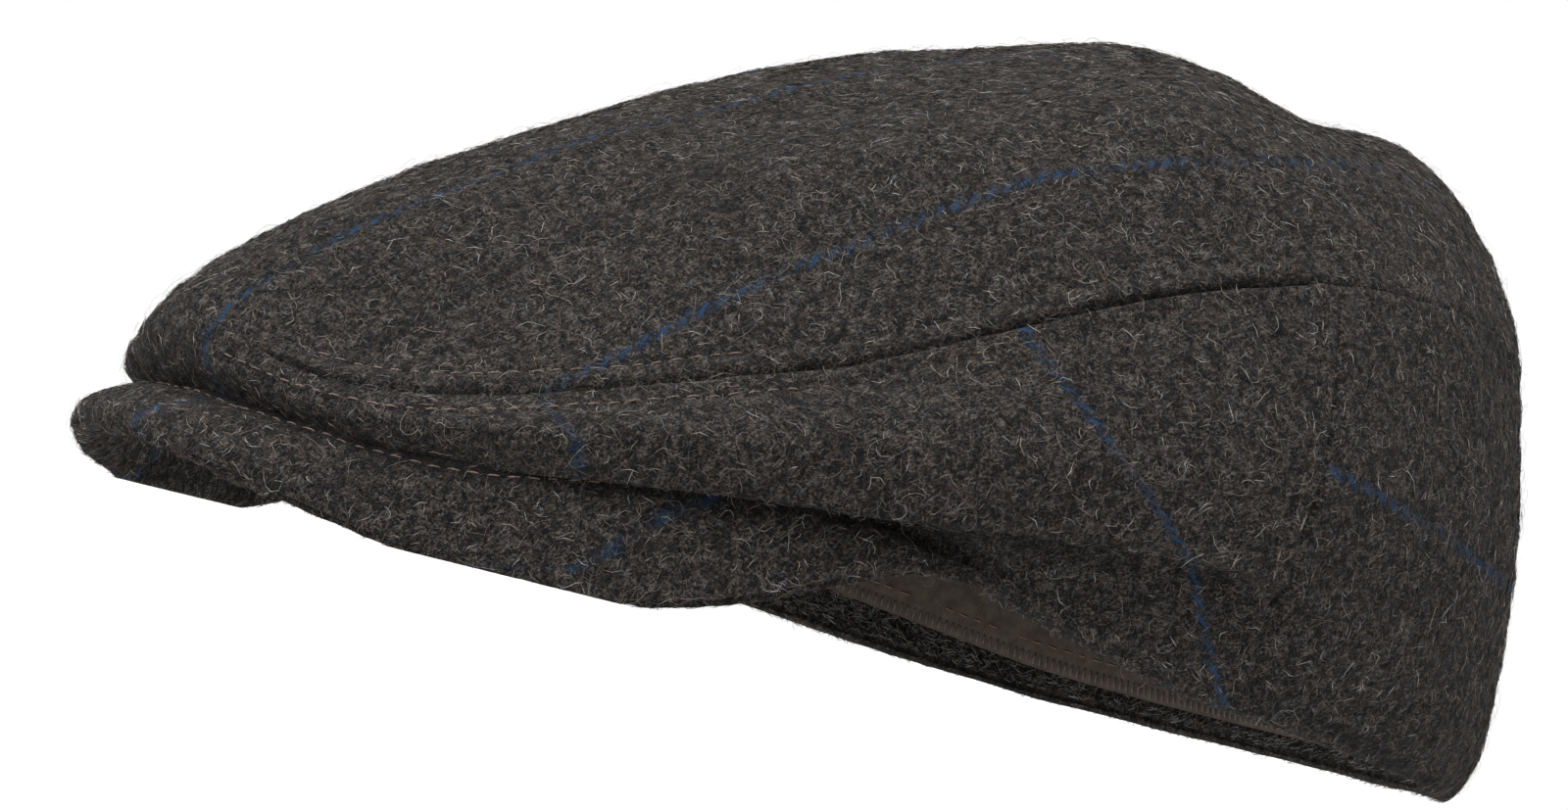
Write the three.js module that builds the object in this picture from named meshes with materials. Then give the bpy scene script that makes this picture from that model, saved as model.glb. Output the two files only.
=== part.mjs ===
// Flat cap of wool tweed, lying on the sides of its peak and on the back of its rim.
// Millimetres, +Z up. The peak points to -Y and the wearer's left is +X.
import * as THREE from "three";

// Driving dimensions
const clothThickness = 2.2;
const hemThickness = 4.2; // cloth turned in along the rim
const hemLevel = 0.7; // how far the hem reaches from the rim up to the fold
const liningThickness = 1.2;
const liningEdgeLevel = 0.5; // how far up the hem the lining's edge lies, behind the peak
const liningDrop = 3; // how far the lining hangs below the top panel
const liningInset = 4.2; // lean of the lining towards the middle, half way up
const liningTuckShare = 0.42; // how much of the wall's tuck moves the lining's edge in, beside the peak
const liningTurn = 8; // degrees on each side of the peak's ends in which the lining's edge climbs the hem
const pieceGap = 0.3; // between neighbouring pieces
const peakGap = 0.5; // between the peak and the crown that lies on it
const wallLift = 2; // arch of the crown's wall over the peak
const overhangEnd = 86; // degrees from the front at which the crown's overhang begins to fade
const roundEnd = 112; // past this the wall only rounds in to the rim
const roundShare = 0.75; // part of the wall's height that goes into that rounding
const peakThickness = 5;
const peakEndThickness = 2.4;
const peakEndAngle = 69; // where the peak's two ends meet the rim, from the front
const peakEndReach = 3; // width of the peak at its ends
const peakReach = 40.5; // from the rim to the peak's edge, at the front
const peakFlare = 13; // widening of the peak past the rim, at the sides
const peakRoundness = 1.8; // powers of the peak's outline
const peakFullness = 0.75;
const peakThinning = 0.7; // share of the way to its ends at which the peak begins to thin
const peakArch = 1; // rise of the peak's bare strip between its groove and its edge
const coveredShare = 0.75; // part of the peak's width that lies under the crown, at the front
const coveredEndShare = 0.45; // the same beside the cheeks
const coveredTurn = { start: 34, end: 50 }; // degrees from the front between those two
const backSeamAngle = 98; // upright seams between the side and back panels, from the front
const seamLean = 3.8; // degrees that those seams bow to the front, half way up
const columnAngle = 6; // about the angle between the crown's columns
const apex = { y: 36, z: 114.8 };

// Places round the head, every 30 degrees from the front, at which each ring's height is given
const places = ["front", "brow", "temple", "side", "ear", "nape", "back"];
const placeStep = 30;

// Rings of the crown from the rim upward: half width, reach to front and back, narrowing towards the front,
// and heights above the surface that the cap lies on
const rings = {
  rim: { halfWidth: 85, frontReach: 100, backReach: 107.5, narrowing: 0.13,
    front: 35, brow: 32, temple: 20, side: 7.5, ear: 2.5, nape: -0.5, back: -0.5 },
  fold: { halfWidth: 94.5, frontReach: 132, backReach: 111, narrowing: 0.08,
    front: 16, brow: 14, temple: 20.7, side: 27.5, ear: 21, nape: 11, back: 10 },
  bulge: { halfWidth: 96, frontReach: 137, backReach: 108, narrowing: 0.06,
    front: 20.5, brow: 18.2, temple: 30.5, side: 44, ear: 42, nape: 36, back: 36 },
  seam: { halfWidth: 83, frontReach: 138, backReach: 101.5, narrowing: 0.12,
    front: 28, brow: 22.8, temple: 41, side: 71.8, ear: 77.5, nape: 73, back: 69.5 },
  crest: { halfWidth: 56, frontReach: 88, backReach: 90, narrowing: 0.12,
    front: 66.6, brow: 67.6, temple: 81, side: 99, ear: 103, nape: 103, back: 100 },
};
// How deep the wall tucks in under the crown's overhang
const tuck = { front: 0, brow: 0, temple: 8, side: 7, ear: 0, nape: 0, back: 0 };
// Heights of the peak's lower edge at its tip, at quarters of the way to its end, and at the cheeks it lies on
const peakEdge = { tip: 7, brow: 4, cheek: -0.6, temple: 2.2 };
// Shallow dents in the top: middle in plan, turn of their length, half length, half width and depth
const dents = [
  { x: 26, y: 44, turn: -36, length: 30, width: 15, depth: 5.5 },
];

// Levels up the crown: rim 0, fold 1, bulge 2, seam 3, crest 4, apex 5
const seamLevel = 3;
const crestLevel = 4;
const apexLevel = 5;
const liningTopLevel = 4; // the lining's own levels, from its edge up
const seamInset = 0.006; // half a gap at the top panel's seam, in levels
const seamAngle = 0.15; // half a gap at an upright seam, in degrees

const degrees = THREE.MathUtils.degToRad;
const { lerp, smoothstep } = THREE.MathUtils;
const upward = new THREE.Vector3(0, 0, 1);

// Angle away from the front, from 0 to 180
function fromFront(angle) {
  return Math.abs(THREE.MathUtils.euclideanModulo(angle + 180, 360) - 180);
}

// Smooth line of values at equal steps, read at any step
function valueAlong(values, step) {
  const curve = new THREE.SplineCurve(values.map((value, index) => new THREE.Vector2(index, value)));
  return curve.getPoint(step / (values.length - 1)).y;
}

// Value at any angle from a row that gives one for each place round the head
function around(row, angle) {
  const values = places.map((place) => row[place]);
  const mirrored = [values[1], ...values, values.at(-2)];
  return valueAlong(mirrored, fromFront(angle) / placeStep + 1);
}

function ringPoint(row, angle) {
  const sine = Math.sin(degrees(angle));
  const cosine = Math.cos(degrees(angle));
  const reach = cosine > 0 ? row.frontReach : row.backReach;
  const x = row.halfWidth * sine * (1 - row.narrowing * cosine);
  return new THREE.Vector3(x, -reach * cosine, Math.max(around(row, angle), 0));
}

// Lower part of the crown at one angle: a wall from the rim out to the fold, tucked in under the overhang at the
// front and sides, and rounded at the back
function crownWall(angle) {
  const rim = ringPoint(rings.rim, angle);
  const fold = ringPoint(rings.fold, angle);
  const bulge = ringPoint(rings.bulge, angle);
  const depth = around(tuck, angle);
  const middle = rim.clone().lerp(fold, 0.5);
  middle.addScaledVector(new THREE.Vector3(-rim.x, -rim.y, 0).normalize(), depth);
  middle.z += depth / 2 + wallLift;
  const drop = (roundShare * (fold.z - rim.z)) / (bulge.z - fold.z);
  const corner = fold.clone().lerp(bulge, -drop);
  middle.lerp(corner, smoothstep(fromFront(angle), overhangEnd, roundEnd));
  return new THREE.QuadraticBezierCurve3(rim, middle, fold);
}

// Upper part of the crown at one angle: a smooth line from the fold over the apex
function crownDome(angle) {
  const points = [rings.fold, rings.bulge, rings.seam, rings.crest].map((row) => ringPoint(row, angle));
  points.push(new THREE.Vector3(0, apex.y, apex.z), ringPoint(rings.crest, angle + 180));
  return new THREE.CatmullRomCurve3(points);
}

// Point of the crown by the angle of its column and by its level. Columns bow to the front as the upright
// seams do.
function crownPoint(column, level) {
  const lean = seamLean * Math.sin((Math.PI * Math.min(level, seamLevel)) / seamLevel);
  const angle = column - lean * Math.sin(degrees(column));
  if (level <= 1) return crownWall(angle).getPoint(level);
  const dome = crownDome(angle);
  const point = dome.getPoint((level - 1) / (dome.points.length - 1));
  const share = smoothstep(level, seamLevel, crestLevel);
  for (const dent of dents) {
    const place = new THREE.Vector2(point.x - dent.x, point.y - dent.y);
    place.rotateAround(new THREE.Vector2(), -degrees(dent.turn));
    point.z -= dent.depth * share * Math.exp(-((place.x / dent.length) ** 2) - (place.y / dent.width) ** 2);
  }
  return point;
}

// Outward direction of a surface, from small steps round it and up it
function surfaceNormal(pointAt, angle, level, topLevel) {
  const step = 0.01;
  const turn = 1;
  const middle = THREE.MathUtils.clamp(level, step, topLevel - 2 * step);
  const along = pointAt(angle + turn, middle).sub(pointAt(angle - turn, middle));
  const up = pointAt(angle, middle + step).sub(pointAt(angle, middle - step));
  return along.cross(up).normalize();
}

// Closed wall over a grid of columns and rows. faceAt gives a point of its outer face (side 1) or inner face
// (side -1), closed joins the last column to the first, and pole means that the last row is one point.
function wallGeometry({ columns, rows, faceAt, closed = false, pole = false }) {
  const positions = [];
  const triangles = [];
  const columnCount = closed ? columns : columns + 1;
  const addFace = (side) => {
    const start = positions.length / 3;
    for (let row = 0; row <= rows; row += 1) {
      const count = pole && row === rows ? 1 : columnCount;
      for (let column = 0; column < count; column += 1) {
        positions.push(...faceAt(column, row, side).toArray());
      }
    }
    return (column, row) => start + row * columnCount + (pole && row === rows ? 0 : column % columnCount);
  };
  const addQuad = (a, b, c, d) => {
    if (a !== b && b !== c) triangles.push(a, b, c);
    if (c !== d && d !== a) triangles.push(a, c, d);
  };
  const outer = addFace(1);
  const inner = addFace(-1);
  for (let column = 0; column < columns; column += 1) {
    const next = column + 1;
    for (let row = 0; row < rows; row += 1) {
      addQuad(outer(column, row), outer(next, row), outer(next, row + 1), outer(column, row + 1));
      addQuad(inner(next, row), inner(column, row), inner(column, row + 1), inner(next, row + 1));
    }
    addQuad(inner(column, 0), inner(next, 0), outer(next, 0), outer(column, 0));
    if (!pole) addQuad(outer(column, rows), outer(next, rows), inner(next, rows), inner(column, rows));
  }
  for (let row = 0; row < rows && !closed; row += 1) {
    addQuad(inner(0, row), outer(0, row), outer(0, row + 1), inner(0, row + 1));
    addQuad(outer(columns, row), inner(columns, row), inner(columns, row + 1), outer(columns, row + 1));
  }
  const geometry = new THREE.BufferGeometry();
  geometry.setAttribute("position", new THREE.Float32BufferAttribute(positions, 3));
  geometry.setIndex(triangles);
  geometry.computeVertexNormals();
  return geometry;
}

// Wall of crown cloth, with the angle and level of each column and row of its grid
function clothPanel({ columns, rows, angleAt, levelAt, closed, pole }) {
  const faceAt = (column, row, side) => {
    const angle = angleAt(column, row);
    const level = levelAt(column, row);
    const point = crownPoint(angle, level);
    if (side > 0) return point;
    const height = point.z;
    const thickness = level < hemLevel ? hemThickness : clothThickness;
    point.addScaledVector(surfaceNormal(crownPoint, angle, level, apexLevel), -thickness);
    point.z = level === 0 ? height : Math.max(point.z, 0);
    return point;
  };
  return wallGeometry({ columns, rows, faceAt, closed, pole });
}

function topPanel() {
  const columns = 360 / columnAngle;
  const rows = 8;
  const angleAt = (column) => column * columnAngle;
  const levelAt = (column, row) => lerp(seamLevel + seamInset, apexLevel, row / rows);
  return clothPanel({ columns, rows, angleAt, levelAt, closed: true, pole: true });
}

// Panel of the crown's wall, from the rim up to the top panel, between two upright seams
function wallPanel(startSeam, endSeam) {
  const columns = Math.round((endSeam - startSeam) / columnAngle);
  const rows = 9;
  const angleAt = (column) => lerp(startSeam + seamAngle, endSeam - seamAngle, column / columns);
  const levelAt = (column, row) => ((seamLevel - seamInset) * row) / rows;
  return clothPanel({ columns, rows, angleAt, levelAt });
}

// Height of the peak's lower edge, by the share of the way from its tip to its end
function peakEdgeHeight(share, endHeight) {
  const { tip, brow, cheek, temple } = peakEdge;
  const quarters = [tip, brow, cheek, temple, endHeight];
  const mirrored = [brow, ...quarters, endHeight];
  return valueAlong(mirrored, share * (quarters.length - 1) + 1);
}

// Middle line of the peak at one angle, from its rounded edge in to the rim, with its half thickness
function peakSection(angle) {
  const share = Math.abs(angle) / peakEndAngle;
  const spread = (1 - share ** peakRoundness) ** peakFullness;
  const radius = lerp(peakThickness, peakEndThickness, smoothstep(share, peakThinning, 1)) / 2;
  const rim = ringPoint(rings.rim, angle);
  const fold = ringPoint(rings.fold, angle);
  const outward = new THREE.Vector3(fold.x - rim.x, fold.y - rim.y, 0).normalize();
  const edge = rim.clone().addScaledVector(outward, peakEndReach);
  edge.x += peakFlare * spread * Math.sin(degrees(angle));
  edge.y -= peakReach * spread * Math.cos(degrees(angle));
  edge.z = peakEdgeHeight(share, rim.z - peakEndThickness - peakGap) + radius;
  // The crown lies on the inner part of the peak, as far as the groove
  const cheek = smoothstep(Math.abs(angle), coveredTurn.start, coveredTurn.end);
  const coveredWidth = lerp(coveredShare, coveredEndShare, cheek) * edge.distanceTo(rim);
  const covered = Math.min(1, coveredWidth / fold.distanceTo(rim));
  const groove = rim.clone().lerp(fold, covered);
  const slope = edge.clone().sub(rim).normalize();
  const across = upward.clone().projectOnPlane(slope).normalize();
  const drop = across.clone().multiplyScalar(-radius);
  drop.z -= peakGap;
  const root = rim.clone().add(drop);
  groove.add(drop);
  const bend = edge.clone().lerp(groove, 0.5).addScaledVector(across, peakArch);
  return { line: [edge, edge, edge, bend, groove, root], slope, across, radius };
}

function peak() {
  const columns = 44;
  const edgeTurns = [10, 50, 90]; // steps round the edge, from its nose to its faces
  const rows = 5;
  const faceAt = (column, row, side) => {
    const angle = lerp(-peakEndAngle, peakEndAngle, column / columns);
    const { line, slope, across, radius } = peakSection(angle);
    const turn = degrees(edgeTurns[Math.min(row, edgeTurns.length - 1)]);
    const point = line[row].clone();
    point.addScaledVector(slope, radius * Math.cos(turn));
    point.addScaledVector(across, side * radius * Math.sin(turn));
    point.z = Math.max(point.z, 0);
    return point;
  };
  return wallGeometry({ columns, rows, faceAt });
}

// Lining: up from the hem inside the rim, then close under the crown's top
function liningPoint(angle, level) {
  const rim = ringPoint(rings.rim, angle);
  const inward = new THREE.Vector3(-rim.x, -rim.y, 0).normalize();
  const inside = (crownLevel, depth) => {
    const normal = surfaceNormal(crownPoint, angle, crownLevel, apexLevel);
    return crownPoint(angle, crownLevel).addScaledVector(normal, -depth);
  };
  const behind = smoothstep(fromFront(angle), peakEndAngle - liningTurn, peakEndAngle + liningTurn);
  const clear = hemThickness + 2 * pieceGap;
  const start = rim.clone().addScaledVector(inward, clear + liningTuckShare * around(tuck, angle));
  start.lerp(inside(liningEdgeLevel, clear), behind);
  const crest = inside(crestLevel, clothThickness + liningDrop);
  const top = new THREE.Vector3(0, apex.y, apex.z - clothThickness - liningDrop);
  const wall = start.clone().addScaledVector(inward, liningInset);
  wall.z = lerp(start.z, crest.z, 0.5);
  const rise = inside((crestLevel + apexLevel) / 2, clothThickness + liningDrop);
  const line = new THREE.CatmullRomCurve3([start, wall, crest, rise, top]);
  return line.getPoint(level / liningTopLevel);
}

function lining() {
  const columns = 48;
  const rows = 8;
  const faceAt = (column, row, side) => {
    const angle = (360 * column) / columns;
    const level = (liningTopLevel * row) / rows;
    const point = liningPoint(angle, level);
    if (side > 0) return point;
    const normal = surfaceNormal(liningPoint, angle, level, liningTopLevel);
    return point.addScaledVector(normal, -liningThickness);
  };
  return wallGeometry({ columns, rows, faceAt, closed: true, pole: true });
}

function piece(name, geometry, color, roughness) {
  const mesh = new THREE.Mesh(geometry, new THREE.MeshStandardMaterial({ color, roughness, metalness: 0 }));
  mesh.name = name;
  return mesh;
}

const tweedColor = 0x45413f;
const liningColor = 0x3f372f;
const clothRoughness = 0.95;
const cap = new THREE.Group();
cap.add(
  piece("top_panel", topPanel(), tweedColor, clothRoughness),
  piece("side_panel_left", wallPanel(0, backSeamAngle), tweedColor, clothRoughness),
  piece("side_panel_right", wallPanel(-backSeamAngle, 0), tweedColor, clothRoughness),
  piece("back_panel", wallPanel(backSeamAngle, 360 - backSeamAngle), tweedColor, clothRoughness),
  piece("peak", peak(), tweedColor, clothRoughness),
  piece("lining", lining(), liningColor, clothRoughness),
);
// Origin at the middle of the underside
const box = new THREE.Box3().setFromObject(cap);
cap.position.set(0, -(box.min.y + box.max.y) / 2, -box.min.z);

export default cap;
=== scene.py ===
# Flat cap of wool tweed: sewn panels with rolled seams and topstitching, a bound peak, a brown lining and
# loose wool fibres all over. Shapes are worked out in millimetres from the middle of the rim, with the peak
# towards -Y and the wearer's left at +X, and are set into the frame in metres.
import math
import bpy
import numpy as np
from mathutils import Matrix, Vector


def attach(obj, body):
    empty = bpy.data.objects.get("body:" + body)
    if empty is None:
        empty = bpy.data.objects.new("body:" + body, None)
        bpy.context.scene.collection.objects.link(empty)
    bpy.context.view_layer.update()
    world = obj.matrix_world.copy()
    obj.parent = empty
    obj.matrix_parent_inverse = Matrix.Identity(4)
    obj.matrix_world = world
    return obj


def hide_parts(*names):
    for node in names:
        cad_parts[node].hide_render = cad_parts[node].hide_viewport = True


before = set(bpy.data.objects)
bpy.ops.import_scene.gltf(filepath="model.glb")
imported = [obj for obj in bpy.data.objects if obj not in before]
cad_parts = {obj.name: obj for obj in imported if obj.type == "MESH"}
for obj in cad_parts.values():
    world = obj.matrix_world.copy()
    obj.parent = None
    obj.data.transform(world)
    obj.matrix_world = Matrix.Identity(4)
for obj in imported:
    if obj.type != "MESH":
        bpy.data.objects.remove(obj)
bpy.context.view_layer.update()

# Sizes of the cap, as the solids have them
rim_centre = np.array([0, 17.5, 0])  # the rim's middle, from the frame's origin
cloth_thickness = 2.2
hem_thickness = 4.2
hem_level = 0.7
wall_lift = 2
overhang_end = 86
round_end = 112
round_share = 0.75
peak_thickness = 5
peak_end_angle = 69
peak_end_reach = 3
peak_reach = 40.5
peak_flare = 13
peak_roundness = 1.8
peak_fullness = 0.75
peak_thinning = 0.7
peak_arch = 1
covered_share = 0.75
covered_end_share = 0.45
covered_turn = (34, 50)  # degrees from the front
piece_gap = 0.3
lining_thickness = 1.2
lining_edge_level = 0.5
lining_drop = 3
lining_inset = 4.2
lining_tuck_share = 0.42
lining_turn = 8
back_seam_angle = 98
seam_lean = 3.8  # degrees that the upright seams bow to the front, half way up
apex = np.array([0, 36, 114.8])

# Rings of the crown: half width, reach to front and back, narrowing towards the front, and heights at every
# 30 degrees from the front to the back
place_step = 30
rings = {
    "rim": {"shape": (85, 100, 107.5, 0.13), "heights": (35, 32, 20, 7.5, 2.5, -0.5, -0.5)},
    "fold": {"shape": (94.5, 132, 111, 0.08), "heights": (16, 14, 20.7, 27.5, 21, 11, 10)},
    "bulge": {"shape": (96, 137, 108, 0.06), "heights": (20.5, 18.2, 30.5, 44, 42, 36, 36)},
    "seam": {"shape": (83, 138, 101.5, 0.12), "heights": (28, 22.8, 41, 71.8, 77.5, 73, 69.5)},
    "crest": {"shape": (56, 88, 90, 0.12), "heights": (66.6, 67.6, 81, 99, 103, 103, 100)},
}
tuck = (0, 0, 8, 7, 0, 0, 0)
peak_edge = {"tip": 7, "brow": 4, "cheek": -0.6, "temple": 2.2}
dents = [{"x": 26, "y": 44, "turn": -36, "length": 30, "width": 15, "depth": 5.5}]
rim_level = 0
fold_level = 1
seam_level = 3
crest_level = 4
apex_level = 5

# Sewing
peak_gap = -0.8  # the edge of the peak goes up into the seam of the rim
peak_end_thickness = 1.4  # where the ends of the peak are pressed into the seam
seam_inset = 0.002  # levels between the edge of a panel and its seam
seam_depth = 1.7
seam_width = 0.55
seam_raggedness = 0.3
ragged_length = 5
swell_height = 0.35
swell_away = 1.9
swell_width = 1.5
seam_fade = (9, 22)  # degrees from the front in which the top seam dies out
front_seam_share = 0.55  # depth of the top seam towards the front
front_seam_end = (42, 60)  # degrees from the front in which it gets its full depth
back_seam_flattening = 0.8  # what it loses of that depth over the back panel
back_seam_turn = (90, 102)
upright_strength = 0.45  # depth of the upright seams beside that of the top seam
upright_fade = (0.02, 0.12)  # levels below the top seam in which they begin
stitch_away = 4.6  # from a seam to its row of topstitching
upright_stitch_away = 3.68
slope_away = 0.1  # levels beside the top seam at which its slope is read
stitch_length = 2.1
stitch_gap = 0.9
stitch_pull = 0.3  # that the topstitching draws the cloth in
stitch_pull_width = 0.7
stitch_fade_share = 0.6  # what that pull loses towards the back
stitch_fade = (60, 100)  # degrees from the front
stitch_slip = 0.12  # unevenness of the stitches along their row
stitch_shift = 0.06  # and of their ends to all sides
stitch_hidden = {"mean": 0.5, "lumps": 0.18, "length": 16, "spread": 0.14}  # how deep in the wool
stitch_shown = 0.8  # depth from which a stitch is lost in it
upright_stitch_shown = 0.4
upper_row = (19, 56)  # degrees from the front
lower_row = (10, 60)
upright_row_levels = (0.3, 2.8)
peak_row_step = 4.6
lining_row_level = 0.10
lining_row_end = 4  # degrees between that row and the ends of the peak
lining_row_lift = 0.05
thread_radius = 0.135
thread_rise = 1.6  # radii from the ends of a stitch up to its middle
thread_sink = 0.65  # radii that its ends go into the cloth
thread_fullness = 0.7
thread_end = 0.2  # share of its thickness that a stitch keeps at its ends
overlock_radius = 0.24
overlock_step = 0.75  # degrees from thread to thread
overlock_levels = (0.008, 0.062)
peak_seam_share = 0.8  # of the way to the ends of the peak, in which its seam and stitches show
nose_seam_depth = 0.8  # of the seam along the edge of the peak
nose_seam_width = 0.6
nose_seam_step = -0.35
lip_hollow = 2.6  # that the cloth is drawn in under the lip of the crown
lip_hollow_level = 0.78
lip_hollow_height = 0.15
lip_hollow_start = (40, 56)  # degrees from the front
lip_hollow_end = (90, 106)
lip_shade_level = 0.80  # where painted shade darkens the cloth under that lip
lip_shade_height = 0.22
lip_shade_end = (72, 92)
groove_shade_steps = (4.1, 4.8)  # steps of the peak over which painted shade darkens it towards its groove
# Strength of the painted shade under the lip and in the groove of the peak
painted_shade_strength = 0.8

# Height, length and seed of the soft lumps in each cloth
crown_lumps = ((0.45, 34, 3), (0.16, 9, 4), (0.06, 3.2, 5))
peak_lumps = ((0.25, 24, 7), (0.14, 8, 8), (0.06, 3.2, 9))
least_height = 0.05  # of cloth above the floor
fibre_least_height = 0.02


def smoothstep(value, low, high):
    share = np.clip((value - low) / (high - low), 0, 1)
    return share * share * (3 - 2 * share)


# Share that rises over one stretch of a value and falls over another
def within(value, start, end):
    return smoothstep(value, *start) * (1 - smoothstep(value, *end))


def bell(value, middle, width):
    return np.exp(-(((value - middle) / width) ** 2))


def unit(vectors):
    return vectors / np.maximum(np.linalg.norm(vectors, axis=-1, keepdims=True), 1e-9)


# Two numbers or arrays as arrays of one shape
def paired(first, second):
    return np.broadcast_arrays(np.asarray(first, float), np.asarray(second, float))


def signed_angle(angle):
    return np.mod(np.asarray(angle, float) + 180, 360) - 180


def from_front(angle):
    return np.abs(signed_angle(angle))


# Smooth lumps between about -1 and 1, from plane waves of about one length
def lumps(points, length, seed, count=14):
    random = np.random.default_rng(seed)
    directions = unit(random.normal(size=(count, 3)))
    turns = directions * random.uniform(0.7, 1.4, size=(count, 1)) * 2 * math.pi / length
    phases = random.uniform(0, 2 * math.pi, size=count)
    return np.sin(points @ turns.T + phases).sum(axis=-1) / math.sqrt(count)


def unevenness(points, rows):
    return sum(height * lumps(points, length, seed) for height, length, seed in rows)


def above_floor(points, height=least_height):
    points[..., 2] = np.maximum(points[..., 2], height)
    return points


# Point of the curve from a start to an end, with the slopes that it leaves and arrives with
def curve_between(start, end, leave, arrive, t):
    cubic = 2 * start - 2 * end + leave + arrive
    square = -3 * start + 3 * end - 2 * leave - arrive
    return cubic * t**3 + square * t**2 + leave * t + start


# Smooth line of values at equal steps, read at any step
def value_along(values, step):
    padded = np.array([values[0], *values, values[-1]], float)
    last = len(values) - 1
    step = np.clip(step, 0, last)
    index = np.minimum(np.floor(step).astype(int), last - 1)
    before, start, end, after = (padded[index + k] for k in range(4))
    return curve_between(start, end, (end - before) / 2, (after - start) / 2, step - index)


# Smooth line through points, one step apart, evenly rounded whatever their spacing
def line_along(points, step):
    points = np.stack([2 * points[0] - points[1], *points, 2 * points[-1] - points[-2]])
    index = np.clip(np.floor(step).astype(int), 0, points.shape[0] - 4)
    t = (step - index)[..., None]
    before, start, end, after = (
        np.take_along_axis(points, (index + k)[None, ..., None], 0)[0] for k in range(4)
    )

    def gap(a, b):
        return np.maximum(np.sum((b - a) ** 2, axis=-1, keepdims=True), 1e-9) ** 0.25

    first, middle, last = gap(before, start), gap(start, end), gap(end, after)
    leave = (start - before) / first - (end - before) / (first + middle) + (end - start) / middle
    arrive = (end - start) / middle - (after - start) / (middle + last) + (after - end) / last
    return curve_between(start, end, leave * middle, arrive * middle, t)


# Value at any angle from those at every 30 degrees, the same on both sides
def around(values, angle):
    mirrored = [values[1], *values, values[-2]]
    return value_along(mirrored, from_front(angle) / place_step + 1)


def ring_point(name, angle):
    half_width, front, back, narrowing = rings[name]["shape"]
    sine, cosine = np.sin(np.radians(angle)), np.cos(np.radians(angle))
    reach = np.where(cosine > 0, front, back)
    height = np.maximum(around(rings[name]["heights"], angle), 0)
    return np.stack([half_width * sine * (1 - narrowing * cosine), -reach * cosine, height], axis=-1)


# Side of the crown, from the rim out to the fold
def crown_wall(angle, level):
    rim, fold = ring_point("rim", angle), ring_point("fold", angle)
    depth = around(tuck, angle)[..., None]
    inward = unit(-rim * [1, 1, 0])
    middle = (rim + fold) / 2 + inward * depth + np.array([0, 0, 1]) * (depth / 2 + wall_lift)
    bulge = ring_point("bulge", angle)
    drop = (round_share * (fold - rim)[..., 2] / (bulge - fold)[..., 2])[..., None]
    rounded = smoothstep(from_front(angle), overhang_end, round_end)[..., None]
    middle = middle + (fold + (fold - bulge) * drop - middle) * rounded
    t = level[..., None]
    return (1 - t) ** 2 * rim + 2 * t * (1 - t) * middle + t**2 * fold


# Top of the crown, from the fold over the seam to the apex, with its dents
def crown_dome(angle, level):
    points = [ring_point(name, angle) for name in ("fold", "bulge", "seam", "crest")]
    points += [np.broadcast_to(apex, points[0].shape), ring_point("crest", angle + 180)]
    point = line_along(points, level - fold_level)
    share = smoothstep(level, seam_level, crest_level)
    for dent in dents:
        turn = math.radians(dent["turn"])
        x, y = point[..., 0] - dent["x"], point[..., 1] - dent["y"]
        along = (x * math.cos(turn) + y * math.sin(turn)) / dent["length"]
        across = (y * math.cos(turn) - x * math.sin(turn)) / dent["width"]
        point[..., 2] -= dent["depth"] * share * np.exp(-(along**2) - across**2)
    return point


# Columns of the crown bow to the front as the upright seams do
def leaned(column, level):
    lean = seam_lean * np.sin(math.pi * np.clip(level, rim_level, seam_level) / seam_level)
    return column - lean * np.sin(np.radians(column))


def crown_point(column, level):
    column, level = paired(column, level)
    angle = leaned(column, level)
    low = crown_wall(angle, np.clip(level, rim_level, fold_level))
    high = crown_dome(angle, np.maximum(level, fold_level))
    return np.where((level <= fold_level)[..., None], low, high)


# Plain surface with its outward normals, and its millimetres for one degree and for one level
def surface_frame(point_at, angle, level, top_level, turn=0.5, rise=0.01):
    middle = np.clip(level, rise, top_level - 2 * rise)
    along = (point_at(angle + turn, middle) - point_at(angle - turn, middle)) / (2 * turn)
    up = (point_at(angle, middle + rise) - point_at(angle, middle - rise)) / (2 * rise)
    normal = unit(np.cross(along, up))
    per_degree, per_level = np.linalg.norm(along, axis=-1), np.linalg.norm(up, axis=-1)
    return point_at(angle, level), normal, per_degree, per_level


def seam_relief(away, point):
    ragged = 1 + seam_raggedness * lumps(point, ragged_length, seed=6)
    groove = seam_depth * bell(away, 0, seam_width)
    return ragged * (swell_height * bell(away, swell_away, swell_width) - groove)


# Height of the cloth over the plain crown: seams, the rows of topstitching pulled in, and soft unevenness
def crown_relief(point, angle, level, per_degree, per_level):
    away = from_front(angle)
    from_top_seam = np.abs(level - seam_level) * per_level
    from_upright_seam = np.abs(away - back_seam_angle) * per_degree
    shown = smoothstep(away, *seam_fade)
    deep = front_seam_share + (1 - front_seam_share) * smoothstep(away, *front_seam_end)
    flattened = 1 - back_seam_flattening * smoothstep(away, *back_seam_turn)
    relief = seam_relief(from_top_seam, point) * shown * deep * flattened
    below = smoothstep(seam_level - level, *upright_fade)
    relief = relief + below * upright_strength * seam_relief(from_upright_seam, point)
    stitched = shown * (1 - stitch_fade_share * smoothstep(away, *stitch_fade))
    relief -= stitch_pull * stitched * bell(from_top_seam, stitch_away, stitch_pull_width)
    return relief + unevenness(point, crown_lumps)


# Shares of the painted shade that darkens the cloth where shadow falls: under the lip of the crown, and in
# the groove of the peak
def painted_lip_shade(angle, level):
    beside = within(from_front(angle), lip_hollow_start, lip_shade_end)
    return beside * bell(level, lip_shade_level, lip_shade_height)


def painted_groove_shade(angle, step):
    return smoothstep(step, *groove_shade_steps)


def no_shade(angle, level):
    return np.zeros(level.shape)


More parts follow.
